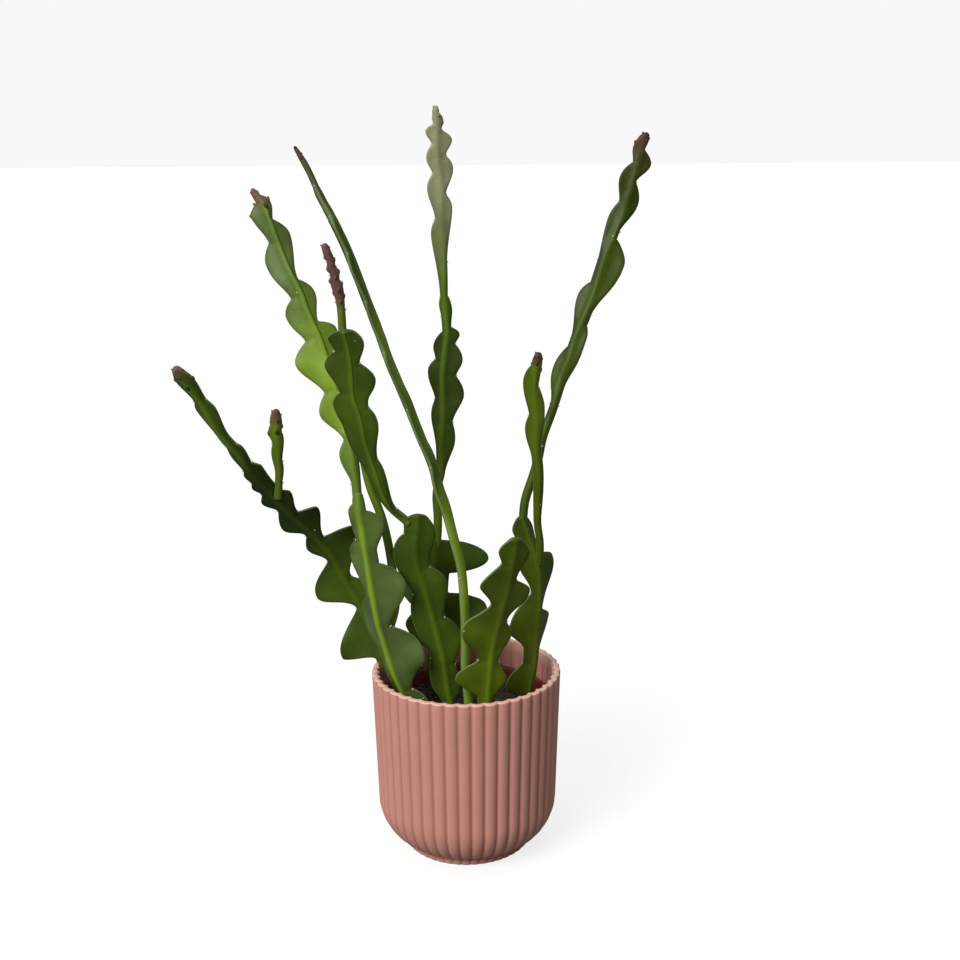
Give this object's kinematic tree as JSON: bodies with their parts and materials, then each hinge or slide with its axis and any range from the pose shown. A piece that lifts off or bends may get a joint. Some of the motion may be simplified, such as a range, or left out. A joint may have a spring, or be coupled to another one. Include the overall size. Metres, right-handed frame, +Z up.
{
  "type": "potted fishbone cactus",
  "caption": "Fishbone cactus with flat zigzag-lobed stems, in soil in a plain nursery pot that stands in a ribbed round cover pot.",
  "frame": {"origin": "middle of the cover pot's flat foot, on the surface it stands on", "axes": "+Z up along the pot's axis; -Y is the side the picture shows; +X is to the right in the picture"},
  "size_m": [0.1769, 0.0748, 0.2901],
  "materials": {
    "cover_pot": "satin",
    "nursery_pot": "satin",
    "potting_soil": "matte",
    "old_stem": "waxy satin",
    "young_stem": "waxy satin"
  },
  "bodies": {
    "root": {"cover_pot": "cover_pot", "nursery_pot": "nursery_pot", "potting_soil": "potting_soil", "stem_left_arching": "old_stem", "stem_left_front": "young_stem", "stem_centre": "old_stem", "stem_centre_back": "old_stem", "stem_edge_on": "young_stem", "stem_right_front": "old_stem", "stem_right_back": "old_stem"}
  },
  "joints": []
}
